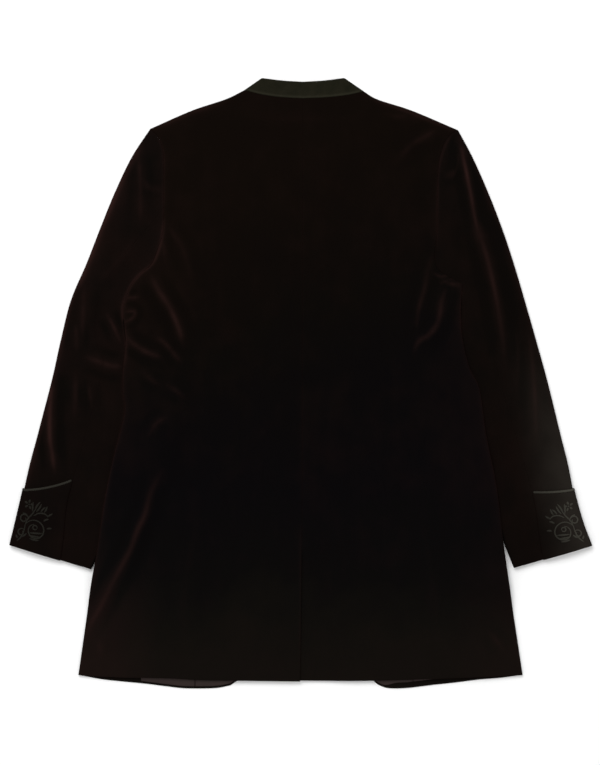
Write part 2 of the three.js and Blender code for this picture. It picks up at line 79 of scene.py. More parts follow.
# Fronts: two velvet panels with rounded lower corners and a turned-up hem. They lie with the outer side
# on the floor. The left one closes over the right one, and the buttons hold both off the floor.
SIDES = ("left", "right")
MM = 0.001
STEPS = 24
LENGTH = 912
PRESSED = 6.2
HALF = PRESSED / 2
WALL = 2.6
ROLL = 4.0
LOFT = 2.6
BUTTONS = (320, 235, 150, 65)
BUTTON_LIFT = 3.3
BUTTON_REACH = (18, 78)
LAP_LIFT = 3.0
SLEEVE_GAP = 0.6
CUFF_WALL = 2.5
OUTLINE = {"left": {
    "neck_back": [(3, 425), (-31, 427), (-58, 431), (-85, 438)],
    "neck_front": [(0, 361), (-30, 367), (-56, 385), (-73, 410), (-85, 438)],
    "shoulder": [(-85, 438), (-109, 426), (-162, 408), (-226, 380)],
    "armhole": [(-226, 380), (-214, 368), (-207, 348), (-206, 285), (-207, 224), (-216, 197), (-224, 177),
        (-242, 161), (-257, 141), (-267, 108)],
    "side": [(-267, 108), (-264, 82), (-262, 60), (-266, 21), (-266, -18), (-263, -39), (-282, -120),
        (-294, -180), (-304, -249), (-312, -290), (-334, -440)],
    "hem_back": [(-1, -449), (-96, -448), (-155, -447), (-196, -444.5), (-270, -443), (-334, -440)],
    "hem_front": [(-106, -456), (-124, -459.5), (-150, -460.5), (-178, -460), (-200, -457.5),
        (-232, -453.5), (-268, -450), (-300, -446.5), (-334, -440)],
    "front_edge": [(20, 358), (20, -72), (6, -177), (-24, -297), (-58, -387), (-80, -428), (-92, -446),
        (-106, -456)],
    "collar_top": [(-59, 456), (-28, 452), (3, 450)],
    "under_body": [(-270, 52), (-258, 46), (-231, 28), (-212, 0), (-224, -50), (-250, -122), (-287, -212),
        (-315, -282), (-340, -282), (-310, -200), (-285, -39)],
}, "right": {
    "neck_back": [(3, 425), (44, 427), (74, 431), (95, 436)],
    "neck_front": [(0, 361), (32, 367), (60, 385), (81, 410), (95, 436)],
    "shoulder": [(95, 436), (111, 426), (165, 408), (236, 378)],
    "armhole": [(236, 378), (222, 369), (213, 353), (207, 327), (205, 275), (204, 216), (201, 186),
        (207, 168), (222, 158), (243, 147)],
    "side": [(243, 147), (240, 118), (240, 93), (242, 66), (254, 18), (266, -5), (278, -82), (290, -140),
        (297, -186), (303, -238), (333, -440)],
    "hem_back": [(-1, -448), (111, -448), (333, -440)],
    "hem_front": [(116, -455), (128, -459.5), (145, -460.5), (163, -459.5), (180, -457.5), (200, -455),
        (233, -451.5), (269, -447), (300, -444.5), (333, -440)],
    "front_edge": [(-20, 358), (-20, -72), (-6, -177), (24, -297), (62, -380), (90, -424), (104, -444),
        (116, -455)],
    "collar_top": [(66, 456), (35, 452), (3, 450)],
    "under_body": [(248, 90), (236, 82), (222, 50), (212, 5), (226, -48), (254, -120), (294, -210),
        (320, -280), (345, -280), (310, -200), (285, -39), (262, 40)],
}}


class Nodes:
    """The nodes of one material, made one at a time."""

    def __init__(self, name):
        self.material = bpy.data.materials.new(name)
        self.material.use_nodes = True
        self.tree = self.material.node_tree
        self.tree.nodes.clear()
        self.places = self.node("TexCoord").other("Object")

    def node(self, kind, sockets=None, stops=(), **settings):
        """Adds a node: its settings and stops are set first, then the values or links of its sockets."""
        made = self.tree.nodes.new("ShaderNode" + kind)
        for name, value in settings.items():
            setattr(made, name, value)
        for n, (place, colour) in enumerate(stops):
            ramp = made.color_ramp.elements
            stop = ramp[n] if n < 2 else ramp.new(place)
            stop.position = place
            stop.color = (*colour, 1)
        for name, value in (sockets or {}).items():
            socket = next(s for s in made.inputs if name in (s.identifier, s.name) and s.enabled)
            if isinstance(value, Value):
                self.tree.links.new(value.socket, socket)
            else:
                socket.default_value = (*value, 1) if socket.type == "RGBA" else value
        return Value(self, next((s for s in made.outputs if s.enabled), None))

    def blend(self, share, first, second):
        """A colour between two colours."""
        sockets = {"Factor_Float": share, "A_Color": first, "B_Color": second}
        return self.node("Mix", sockets, data_type="RGBA")

    def noise(self, scale, detail=2.0, places=None):
        return self.node("TexNoise", {"Vector": places or self.places, "Scale": scale, "Detail": detail})

    def streaks(self, x, y, z, detail):
        """Noise with its own scale along each axis."""
        sockets = {"Vector": self.places, "Vector_001": (x, y, z)}
        return self.noise(1.0, detail, self.node("VectorMath", sockets, operation="MULTIPLY"))

    def mark(self, name):
        """A number that was stored on the points."""
        return self.node("Attribute", attribute_name=name).other("Fac")

    def finish(self, colour, roughness, shine, bumps, sheen=(0.0, 0.5, (1, 1, 1))):
        """The finished material: bumps are height, distance, strength; sheen is weight, roughness, tint."""
        sockets = {"Base Color": colour, "Roughness": roughness, "Specular IOR Level": shine}
        sockets["Normal"] = self.node("Bump", dict(zip(("Height", "Distance", "Strength"), bumps)))
        sockets.update(zip(("Sheen Weight", "Sheen Roughness", "Sheen Tint"), sheen))
        self.node("OutputMaterial", {"Surface": self.node("BsdfPrincipled", sockets)})
        return self.material


class Value:
    """A node's output, on which plain arithmetic adds Math nodes."""

    def __init__(self, nodes, socket):
        self.nodes = nodes
        self.socket = socket

    def other(self, name):
        return Value(self.nodes, self.socket.node.outputs[name])

    def maths(self, operation, *inputs, clamp=False):
        sockets = dict(zip(("Value", "Value_001"), inputs))
        return self.nodes.node("Math", sockets, operation=operation, use_clamp=clamp)

    def __add__(self, other):
        return self.maths("ADD", self, other)

    def __sub__(self, other):
        return self.maths("SUBTRACT", self, other)

    def __mul__(self, other):
        return self.maths("MULTIPLY", self, other)

    def __rsub__(self, other):
        return self.maths("SUBTRACT", other, self)

    __radd__ = __add__
    __rmul__ = __mul__

    def clamped(self):
        return self.maths("ADD", self, 0.0, clamp=True)

    def sine(self):
        return self.maths("SINE", self)


def velvet_material():
    """Near-black burgundy pile with a painted red-brown sheen on folds and rims, and a painted pale grey
    sheen on veils.
    """
    nodes = Nodes("velvet")
    normal = nodes.node("TexCoord").other("Normal")
    up = nodes.node("SeparateXYZ", {"Vector": normal}).other("Z")
    # Painted sheen: the steeper the surface, the more red-brown it is painted.
    slope = ((0.85 - up.maths("ABSOLUTE", up)) * 0.4).clamped()
    glow, veil, tone = nodes.mark("glow"), nodes.mark("veil"), nodes.mark("tone")
    broad = nodes.noise(4.2, 1.5)
    patches = nodes.noise(24, 2.5)
    brushed = nodes.streaks(60, 14, 30, 3.0)
    pile = nodes.noise(900)
    place = (tone + (broad - 0.5) * 0.20 + (patches - 0.5) * 0.14).clamped()
    # The tone mark picks the base colour; its browner top and left are painted light.
    base = nodes.node("ValToRGB", {"Fac": place}, stops=[
        (0.03, (0.0056, 0.0042, 0.0033)), (0.09, (0.0042, 0.0035, 0.0028)), (0.17, (0.0028, 0.0024, 0.0023)),
        (0.33, (0.0023, 0.0019, 0.0022)), (0.45, (0.0024, 0.0019, 0.0020)), (0.59, (0.0028, 0.0021, 0.0017)),
        (0.69, (0.0032, 0.0021, 0.0016)), (0.85, (0.0038, 0.0023, 0.0016))])
    # Painted sheen from the slope, the glow mark and random patches; where the sum falls below nothing, it
    # becomes painted shade.
    light = slope + glow + (brushed - 0.5) * 0.08 + (broad - 0.5) * 0.12 + (patches - 0.5) * 0.16
    colour = nodes.blend(light.clamped(), base, (0.0190, 0.0082, 0.0070))
    colour = nodes.blend((light * -1.2).clamped(), colour, (0.0012, 0.0010, 0.0009))
    # Painted pale grey sheen where the veil mark is set.
    colour = nodes.blend(veil + (patches - 0.5) * veil, colour, (0.0165, 0.0138, 0.0112))
    colour = nodes.blend((pile * 1.6 - 0.55).clamped() * 0.35, colour, (0.0012, 0.0009, 0.0008))
    return nodes.finish(colour, 0.95, 0.01, bumps=(pile * 0.7 + brushed * 0.3, 0.0004, 0.6),
                        sheen=(0.018, 0.3, (0.75, 0.3, 0.25)))


def satin_material():
    """Grey-mauve lining satin: fine warp threads with a soft gloss."""
    nodes = Nodes("satin")
    split = nodes.node("SeparateXYZ", {"Vector": nodes.places})
    warp = (split.other("X") * 9000).sine()
    slub = nodes.streaks(700, 60, 60, 2.0)
    soft = nodes.noise(30)
    colour = nodes.blend((soft * 1.5 - 0.25).clamped(), (0.021, 0.0128, 0.0113), (0.030, 0.0188, 0.0166))
    colour = nodes.blend(slub * 0.35, colour, (0.013, 0.008, 0.0075))
    return nodes.finish(colour, 0.42 + slub * 0.15, 0.12, bumps=(warp * 0.3 + slub, 0.00012, 0.5))


velvet = velvet_material()
satin = satin_material()


def eased(a):
    a = np.clip(a, 0, 1)
    return a * a * (3 - 2 * a)


def falling(a, start, end):
    return 1 - eased((a - start) / (end - start))


def bell(a, width):
    return np.exp(-(a / width) ** 2)


def rolled(depth, reach):
    """From 0 at an edge to 1 at some reach from it, as on a quarter of a round."""
    return np.sqrt(1 - (1 - np.clip(depth / reach, 0, 1)) ** 2)


def smooth(points, steps=STEPS):
    """Close points on the smooth curve through a few given ones."""
    given = np.array(points, float)
    given = np.vstack([2 * given[0] - given[1], given, 2 * given[-1] - given[-2]])
    share = (np.arange(steps) + 1)[:, None] / steps
    line = [given[1:2]]
    for before, start, end, after in zip(given, given[1:], given[2:], given[3:]):
        first, middle, last = [math.sqrt(np.linalg.norm(b - a)) for a, b in
                               ((before, start), (start, end), (end, after))]
        leave = (start - before) / first - (end - before) / (first + middle) + (end - start) / middle
        arrive = (end - start) / middle - (after - start) / (middle + last) + (after - end) / last
        rise = end - start
        line.append(start + leave * middle * share
                    + (3 * rise - (2 * leave + arrive) * middle) * share ** 2
                    + ((leave + arrive) * middle - 2 * rise) * share ** 3)
    return np.vstack(line)


def reach_along(line):
    """How far along a run each of its points lies."""
    return np.concatenate([[0], np.cumsum(np.linalg.norm(np.diff(line, axis=0), axis=1))])


def spaced(line, shares):
    """The points of a run at some shares of its length."""
    reach = reach_along(line)
    at = np.clip(shares, 0, 1) * reach[-1]
    return np.stack([np.interp(at, reach, line[:, n]) for n in range(line.shape[1])], axis=-1)


def distance(places, line):
    """How far each place is from a run of points, and how far along the run its nearest point lies."""
    line = np.array(line, float)
    nearest = np.full(places.shape[:-1], np.inf)
    along = np.zeros(places.shape[:-1])
    for n, (start, end) in enumerate(zip(line, line[1:])):
        step = end - start
        share = np.clip(((places - start) @ step) / (step @ step), 0, 1)
        away = np.linalg.norm(places - start - share[..., None] * step, axis=-1)
        along = np.where(away < nearest, (n + share) / (len(line) - 1), along)
        nearest = np.minimum(away, nearest)
    return nearest, along


def within(places, polygon):
    """Which places lie inside a polygon."""
    inside = np.zeros(places.shape[:-1], bool)
    x, y = places[..., 0], places[..., 1]
    for (ax, ay), (bx, by) in zip(polygon, polygon[1:] + polygon[:1]):
        if ay != by:
            inside ^= ((ay > y) != (by > y)) & (x < ax + (bx - ax) * (y - ay) / (by - ay))
    return inside


def lift(places):
    """How far the body is held up at each place, by the buttons and by the sleeves under its sides."""
    x, y = places[..., 0], places[..., 1]
    buttons = 1
    for beyond in (np.abs(x), y - BUTTONS[0], BUTTONS[-1] - y):
        buttons = buttons * falling(beyond, *BUTTON_REACH)
    away = np.full(x.shape, np.inf)
    for side, own in (("left", x < 0), ("right", x >= 0)):
        strip = OUTLINE[side]["under_body"]
        apart = np.where(within(places, strip), 0, distance(places, strip + strip[:1])[0])
        away = np.where(own, apart, away)
    cuff = CUFF_WALL * eased((-40 - y) / 70)
    return BUTTON_LIFT * buttons + (PRESSED + SLEEVE_GAP + cuff) * falling(away, 22, 75)


def lap(places):
    """How far the right front lies above the left one."""
    return LAP_LIFT * falling(places[..., 0], 30, 80) * eased((places[..., 1] + 275) / 70)


def creases(places, table):
    """Soft folds, and the light on them. Each has a height, a half width, a light and its ridge's run."""
    total, light, shade = np.zeros((3, *places.shape[:-1]))
    for height, width, shine, line in table:
        line = smooth(line, 6)
        least, most = line.min(axis=0) - 4 * width, line.max(axis=0) + 4 * width
        near = ((places > least) & (places < most)).all(axis=-1)
        away, along = distance(places[near], line)
        fade = np.sin(math.pi * np.clip(along, 0.015, 0.985)) ** 0.7
        uneven = 1 + 0.22 * np.sin(along * 9 + height * 4) + 0.12 * np.sin(along * 23 + width)
        crest = bell(away, width) + 0.35 * bell(away, 2.2 * width)
        trough = bell(away - 2.2 * width, width)
        bright = 0.85 * bell(away, 0.45 * width) + 0.15 * bell(away, 1.4 * width)
        total[near] += height * 0.78 * fade * uneven * (crest - 0.16 * trough)
        light[near] = np.maximum(light[near], shine * fade * uneven * bright)
        dark = 0.16 * (height > 0) * min(1.0, shine * 2) * fade * trough
        shade[near] = np.maximum(shade[near], dark)
    return total, light - shade


def body_tone(places):
    """Where a place lies in the velvet's base colours: browner at the top and on the left, which is painted
    light, and lighter at the hem.
    """
    x, y = places[..., 0], places[..., 1]
    return np.clip(y / LENGTH + 0.5 - 0.38 * x / LENGTH * np.clip((y + 250) / 330, 0, 1), 0, 1)


def from_edges(places, side, runs):
    """How far each place on a panel is from some runs of its outline."""
    return [distance(places, smooth(OUTLINE[side][run], 12))[0] for run in runs]


def steps_along(length, step, start, end):
    """Shares of a length, evenly spaced, with some closer steps by its two ends."""
    count = round((length - start[-1] - end[-1]) / step)
    middle = np.linspace(start[-1], length - end[-1], count + 1)
    return np.concatenate([start[:-1], middle, [length - e for e in end[-2::-1]]]) / length


def panel_plan(side, inner, top, hem, across, down):
    """Places on one panel in plan, row by row from its top edge, each from the inner edge to the side."""
    outline = OUTLINE[side]
    outer = spaced(np.vstack([smooth(outline["armhole"]), smooth(outline["side"])[1:]]), down)
    level = outline["side"][0][1]
    first, last = outer[0, 1], outer[-1, 1]
    y = np.where(outer[:, 1] >= level,
                 level + (inner[0, 1] - level) * (outer[:, 1] - level) / (first - level),
                 inner[-1, 1] + (level - inner[-1, 1]) * (outer[:, 1] - last) / (level - last))
    edge = np.stack([np.interp(-y, -inner[:, 1], inner[:, 0]), y], axis=-1)
    share = across[:, None]
    top_bend = spaced(top, across) - (top[0] + (top[-1] - top[0]) * share)
    hem_bend = spaced(hem, across) - (hem[0] + (hem[-1] - hem[0]) * share)
    depth = ((first - outer[:, 1]) / (first - last))[:, None, None]
    straight = edge[:, None] + (outer - edge)[:, None] * share[None]
    return straight + top_bend[None] * (1 - depth) ** 5 + hem_bend[None] * depth ** 8


def closed_up(mesh, near):
    """Points nearer than a distance are joined, open ends are filled, and all faces point outwards."""
    bmesh.ops.remove_doubles(mesh, verts=mesh.verts, dist=near)
    bmesh.ops.holes_fill(mesh, edges=[e for e in mesh.edges if e.is_boundary])
    bmesh.ops.recalc_face_normals(mesh, faces=mesh.faces)


def piece_of(name, mesh):
    for face in mesh.faces:
        face.smooth = True
    made = bpy.data.objects.new(name, bpy.data.meshes.new(name))
    mesh.to_mesh(made.data)
    mesh.free()
    bpy.context.collection.objects.link(made)
    return made


def shaped(name, places, up=True, closed=False, tube=False):
    """A mesh piece: a grid whose points are moved to the places given in mm, facing out of the cloth."""
    rows, columns = places.shape[:2]
    mesh = bmesh.new()
    bmesh.ops.create_grid(mesh, x_segments=columns - 1, y_segments=rows - 1, size=0.5)
    marks = mesh.loops.layers.uv.new("UVMap")
    for vertex in mesh.verts:
        column = round((vertex.co.x + 0.5) * (columns - 1))
        row = round((vertex.co.y + 0.5) * (rows - 1))
        for loop in vertex.link_loops:
            loop[marks].uv = (column / (columns - 1), row / (rows - 1))
        vertex.co = places[row, column] * MM
    if closed:
        closed_up(mesh, 0.01 * MM)
    else:
        mesh.normal_update()
        level = MM * places[..., 2].mean() if tube else -1
        facing = sum(face.normal.z * face.calc_area() * (face.calc_center_median().z - level)
                     for face in mesh.faces)
        if (facing > 0) != up:
            bmesh.ops.reverse_faces(mesh, faces=mesh.faces)
    return piece_of(name, mesh)


def set_values(piece, name, values):
    """Stores a number for each point of a piece. A grid's points come row by row."""
    layer = piece.data.attributes.new(name, "FLOAT", "POINT")
    layer.data.foreach_set("value", np.ascontiguousarray(values, np.float32).ravel())


def cloth(name, places, outside, node, glow=0.0, veil=0.0, tone=None, pinch=None, up=True, wall=WALL,
          inside=satin, tube=False):
    """A panel of cloth: its outer side from the places given, its thickness inwards, and its inner side."""
    piece = shaped(name, places, up, tube=tube)
    piece.data.materials.append(outside)
    piece.data.materials.append(inside)
    tone = body_tone(places) if tone is None else tone
    for mark, values in (("glow", glow), ("veil", veil), ("tone", tone)):
        set_values(piece, mark, np.broadcast_to(values, places.shape[:2]))
    thickness = piece.modifiers.new("wall", "SOLIDIFY")
    thickness.thickness = wall * MM
    thickness.offset = -1
    thickness.material_offset = 1
    thickness.material_offset_rim = 0
    thickness.use_even_offset = False
    if pinch is not None:
        group = piece.vertex_groups.new(name="wall")
        for n, share in enumerate(pinch.ravel()):
            group.add([n], float(share), "REPLACE")
        thickness.vertex_group = "wall"
    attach(piece, "root")
    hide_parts(node)
    return piece


FINE = (0.0, 0.15, 0.6, 1.3, 2.4, 4.2)
NEAT = (0.0, 0.7, 1.8, 3.2)
FRONT_CREASES = [
    (1.6, 9, 0.35, [(-226, 168), (-206, 128), (-190, 88)]),
    (1.1, 8, 0.3, [(-252, 60), (-226, 36), (-196, 18)]),
    (1.0, 8, 0.25, [(-203, 236), (-184, 206), (-172, 160)]),
    (1.3, 11, 0.3, [(-176, -120), (-204, -214), (-246, -316), (-262, -372)]),
    (1.5, 9, 0.35, [(208, 158), (198, 118), (176, 76)]),
    (1.0, 8, 0.25, [(238, 70), (214, 48), (190, 26)]),
    (1.2, 11, 0.28, [(182, -96), (214, -206), (238, -300), (250, -366)]),
    (0.9, 10, 0.2, [(150, 342), (128, 300), (116, 248)]),
    (0.9, 10, 0.2, [(-146, 344), (-130, 292), (-112, 252)]),
]

for side in SIDES:
    outline = OUTLINE[side]
    top = np.vstack([[outline["front_edge"][0]], smooth(outline["neck_front"]),
                     smooth(outline["shoulder"])[1:]])
    plan = panel_plan(side, smooth(outline["front_edge"]), top, smooth(outline["hem_front"]),
                      steps_along(300, 4.2, NEAT, FINE), steps_along(860, 4.6, FINE, NEAT))
    level = lift(plan) + (lap(plan) if side == "right" else 0)
    shoulder, side_seam, front_edge, hem, armhole, neck = from_edges(
        plan, side, ("shoulder", "side", "front_edge", "hem_front", "armhole", "neck_front"))
    seams, sewn = np.minimum(shoulder, side_seam), np.minimum(armhole, neck)
    free = np.minimum(front_edge, hem)
    middle = HALF + level
    folds, light = creases(plan, FRONT_CREASES)
    inner_part = eased(np.minimum(np.minimum(free, sewn), seams) / 25)
    height = middle + (level - middle) * rolled(seams, ROLL) + np.maximum(folds, 0) * inner_part
    height += 0.8 * (2 - rolled(free, 3) - rolled(sewn, 3))
    front = cloth(f"front_panel_{side}", np.dstack([plan, height]), velvet, f"front_{side}", up=False,
                  inside=velvet, glow=light + 0.06 * bell(seams, 16),
                  pinch=(0.45 + 0.55 * rolled(seams, 6)) * (0.1 + 0.9 * eased(neck / 14)))

# Backs: two velvet panels joined by the centre-back seam, which opens into a vent near the hem. The left
# one laps over a hidden underlap cut on the right one. Creases run in from the armholes and the sides.
VENT_DROP = 2.9
CENTRE_BACK = [(3, 425), (2, -215), (-1, -449)]
UNDERLAP = [(3, 425), (2, -215), (1.9, -236), (-1.2, -248), (-3, -302), (-34, -328), (-36, -447)]
BACK_CREASES = [
    (3.4, 7, 0.62, [(-224, 158), (-214, 138), (-199, 116), (-189, 96), (-181, 75), (-177, 58)]),
    (1.8, 6, 0.45, [(-263, 68), (-249, 56), (-231, 45), (-207, 36)]),
    (1.5, 5, 0.34, [(-217, 68), (-201, 56), (-189, 41), (-180, 31)]),
    (1.3, 7, 0.13, [(-201, 240), (-193, 225), (-178, 202), (-169, 175), (-163, 150)]),
    (0.8, 5, 0.18, [(-210, 228), (-202, 176)]),
    (1.6, 4, 0.36, [(-265, 129), (-255, 126), (-243, 127)]),
    (1.6, 4, 0.4, [(-266, 106), (-249, 105), (-252, 96), (-268, 88)]),
    (1.0, 6, 0.2, [(-203, -2), (-184, -15), (-175, -24)]),
    (1.0, 6, 0.18, [(-198, -52), (-214, -60), (-230, -84)]),
    (0.9, 5, 0.14, [(-241, 20), (-222, 2), (-208, -6)]),
    (3.0, 8, 0.5, [(-209, -134), (-224, -164), (-233, -198), (-245, -224), (-255, -251), (-269, -277),
        (-284, -305), (-299, -335), (-314, -361), (-323, -385)]),
    (1.6, 5, 0.34, [(198, 164), (211, 158), (224, 163), (233, 161), (246, 150)]),
    (2.2, 8, 0.3, [(211, 152), (226, 147), (243, 145)]),
    (1.6, 5, 0.26, [(206, 146), (220, 152), (236, 156)]),
    (3.2, 7, 0.42, [(219, 142), (211, 122), (208, 101), (203, 85), (191, 70), (176, 60), (168, 42)]),
    (2.2, 6, 0.24, [(198, 192), (191, 168), (185, 139), (178, 115), (175, 98), (173, 66)]),
    (1.2, 8, 0.22, [(208, 382), (187, 368), (167, 356), (146, 334)]),
    (0.8, 6, 0.12, [(164, 404), (150, 398), (124, 404)]),
    (0.9, 6, 0.14, [(280, -372), (306, -404)]),
    (0.9, 6, 0.14, [(-303, -384), (-300, -414)]),
    (0.9, 12, 0.03, [(-150, -180), (-172, -300), (-180, -420)]),
    (0.8, 12, 0.03, [(170, -150), (196, -290), (210, -420)]),
    (0.8, 10, 0.03, [(-120, 404), (-62, 396), (0, 394), (70, 396), (128, 404)]),
]
SEAM_LIGHT = [
    (0, 4, 0.22, [(-216, 370), (-207, 348), (-206, 285), (-207, 222)]),
    (0, 5, 0.62, [(-205, 250), (-207, 228), (-211, 205), (-222, 178), (-242, 161), (-257, 141),
        (-267, 104)]),
    (0, 5, 0.52, [(-261, 140), (-268, 108), (-266, 88), (-262, 60), (-264, 20)]),
    (0, 4, 0.22, [(-262, 66), (-266, 21), (-267, -18), (-264, -39), (-282, -120), (-294, -180),
        (-304, -249), (-313, -300)]),
    (0, 4, 0.28, [(229, 376), (216, 353), (208, 325), (205, 275), (204, 206)]),
    (0, 4, 0.24, [(243, 147), (240, 118), (240, 93), (242, 58)]),
    (0, 4, 0.1, [(242, 74), (254, 18), (266, -5), (278, -82), (290, -140), (297, -186), (304, -246)]),
    (0, 9, 0.36, [(-226, 380), (-190, 394), (-162, 406), (-116, 420)]),
    (0, 6, 0.4, [(106, 426), (165, 404), (234, 376)]),
    (0, 4, 0.04, [(3, 425), (2, -230)]),
    (0, 4, 0.12, [(0, -205), (-1, -440)]),
]


def waves(places, size):
    """Slight unevenness of cloth that lies by its own weight."""
    x, y = places[..., 0], places[..., 1]
    return size * (np.sin(x / 37 + 1.3 * np.sin(y / 61)) * np.sin(y / 53 + 0.8 * np.sin(x / 71 + 2))
                   + 0.5 * np.sin(x / 19 + y / 47 + 1.1) * np.sin(y / 29 - x / 83))


for side in SIDES:
    outline = OUTLINE[side]
    inner = np.array(CENTRE_BACK if side == "left" else UNDERLAP, float)
    top = np.vstack([smooth(outline["neck_back"]), smooth(outline["shoulder"])[1:]])
    hem = smooth([tuple(inner[-1])] + outline["hem_back"][1 if side == "left" else 0:])
    plan = panel_plan(side, inner, top, hem, steps_along(300, 3.1, NEAT, FINE),
                      steps_along(860, 3.1, FINE, NEAT))
    raised = lift(plan)
    shoulder, side_seam, armhole, neck = from_edges(plan, side, ("shoulder", "side", "armhole", "neck_back"))
    seams, sewn = np.minimum(shoulder, side_seam), np.minimum(armhole, neck)
    edge = np.minimum(seams, armhole)
    centre = distance(plan, inner)[0]
    hem_away = distance(plan, hem)[0]
    drop = 0
    if side == "right":
        drop = VENT_DROP * falling(plan[..., 0], 26, 84) * eased((-237 - plan[..., 1]) / 35)
    height = PRESSED + raised + LOFT * eased(edge / 60) - drop
    folds, light = creases(plan, BACK_CREASES)
    height += (folds + waves(plan, 0.35)) * eased((edge + 2) / 14)
    light = np.minimum(light, 0) + np.maximum(light, creases(plan, SEAM_LIGHT)[1])
    x, y = plan[..., 0], plan[..., 1]
    light += 0.04 * eased((np.abs(x) - 110) / 130) * eased((y + 250) / 150)
    light += (0.22 if side == "left" else 0.09) * eased((np.abs(x) - 190) / 120) * eased((-225 - y) / 130)
    height -= 0.45 * (1 - rolled(centre, 2.4)) + 0.9 * (2 - rolled(sewn, 3) - rolled(hem_away, 3))
    middle = HALF + raised
    height = middle + (height - middle) * rolled(seams, ROLL)
    back = cloth(f"back_panel_{side}", np.dstack([plan, height]), velvet, f"back_{side}",
                 glow=light + 0.05 * bell(seams, 5) + 0.03 * bell(seams, 30),
                 pinch=0.45 + 0.55 * rolled(seams, 6))

# Sleeves: each is a velvet tube of two pieces, pressed flat. The upper one wraps round the outer edge, and
# they are joined by a hind-arm seam on top and a forearm seam beneath.
PUFF = 2.2
SECTIONS = {
    "left": [(-226, 380, -267, 108), (-253, 339, -265, 90), (-279, 285, -262.5, 74),
        (-301, 231, -260.5, 60), (-322, 177, -253, 44), (-345, 123, -231, 24), (-361, 60, -212, 0),
        (-373, 6, -224, -50), (-394, -75, -250, -122), (-408, -129, -272, -175), (-416, -165, -287, -212),
        (-427, -212, -300, -252), (-435, -245, -315, -282)],
    "right": [(236, 378, 243, 147), (257, 339, 239, 129), (281, 285, 238, 112), (302, 231, 237, 96),
        (320, 177, 233, 76), (336, 123, 222, 46), (354, 60, 212, 5), (369, 6, 226, -48),
        (389, -75, 254, -120), (402, -129, 278, -172), (409, -165, 294, -210), (422, -212, 308, -250),
        (435, -246, 320, -280)],
}
HIND_SEAM = [0.42] * 5 + [0.43, 0.44, 0.45, 0.46, 0.48, 0.5, 0.56, 0.62]
SLEEVE_TRAITS = {"left": (0.09, 1.0, (5.5, 0, -0.8)), "right": (0.05, 0.5, (-4.8, -2.6, -0.8))}
LAST = 12
BEND = 6
SLEEVE_CREASES = [
    (2.8, 7, 0.95, [(-374, 16), (-375, -6), (-376, -27), (-376, -87), (-372, -111), (-369, -134)]),
    (2.2, 6, 0.34, [(-292, 103), (-282, 86), (-269, 56)]),
    (1.8, 8, 0.36, [(-324, 38), (-301, 30), (-283, 24), (-266, 24)]),
    (2.0, 8, 0.2, [(-325, 148), (-326, 110), (-328, 62)]),
    (1.4, 7, 0.2, [(-337, 88), (-336, 46)]),
    (1.2, 8, 0.22, [(-337, 12), (-339, -52)]),
    (1.0, 6, 0.18, [(-319, 2), (-313, -41)]),
    (1.4, 7, 0.24, [(-244, 345), (-241, 303), (-240, 240)]),
    (1.0, 5, 0.2, [(-240, 306), (-226, 291), (-207, 288)]),
    (1.2, 8, 0.07, [(-246, 220), (-265, 190), (-286, 168), (-308, 150)]),
    (2.8, 6, 0.8, [(237, 374), (243, 340), (249, 310), (255, 280), (260, 250), (268, 214)]),
    (2.6, 8, 0.42, [(258, 262), (268, 222), (279, 186), (287, 153), (296, 108), (302, 70), (306, 30)]),
    (1.0, 14, 0.26, [(259, 250), (268, 220), (276, 190)]),
    (1.2, 5, 0.26, [(214, 309), (228, 312), (234, 321), (237, 345)]),
    (2.0, 7, 0.34, [(343, 70), (348, 18), (351, -27), (353, -98)]),
    (0.8, 7, 0.1, [(318, 96), (326, 40), (322, -26)]),
]
RIM_LIGHT = [
    (0, 9, 0.7, [(-238, 364), (-253, 339), (-268, 308), (-279, 285)]),
    (0, 12, 1.25, [(-262, 322), (-279, 285), (-301, 231), (-322, 177), (-338, 138)]),
    (0, 6, 0.85, [(-330, 158), (-345, 123), (-361, 60), (-373, 6), (-394, -75), (-408, -129),
        (-418, -170)]),
    (0, 5, 0.5, [(242, 368), (257, 339), (281, 285), (302, 231), (320, 177), (336, 123), (354, 60)]),
    (0, 5, 0.35, [(336, 123), (354, 60), (369, 6), (389, -75), (402, -129)]),
]
BENEATH_CREASES = [
    (1.2, 9, 0.25, [(-372, 20), (-380, -60), (-372, -140)]),
    (1.0, 9, 0.25, [(-338, 96), (-318, 40), (-288, 20)]),
    (0.9, 8, 0.2, [(-262, 292), (-284, 236), (-296, 188)]),
    (1.2, 9, 0.25, [(262, 308), (284, 236), (306, 140)]),
    (1.0, 8, 0.22, [(352, 60), (340, 10), (318, -22)]),
    (0.9, 8, 0.2, [(372, -60), (384, -120), (380, -170)]),
]


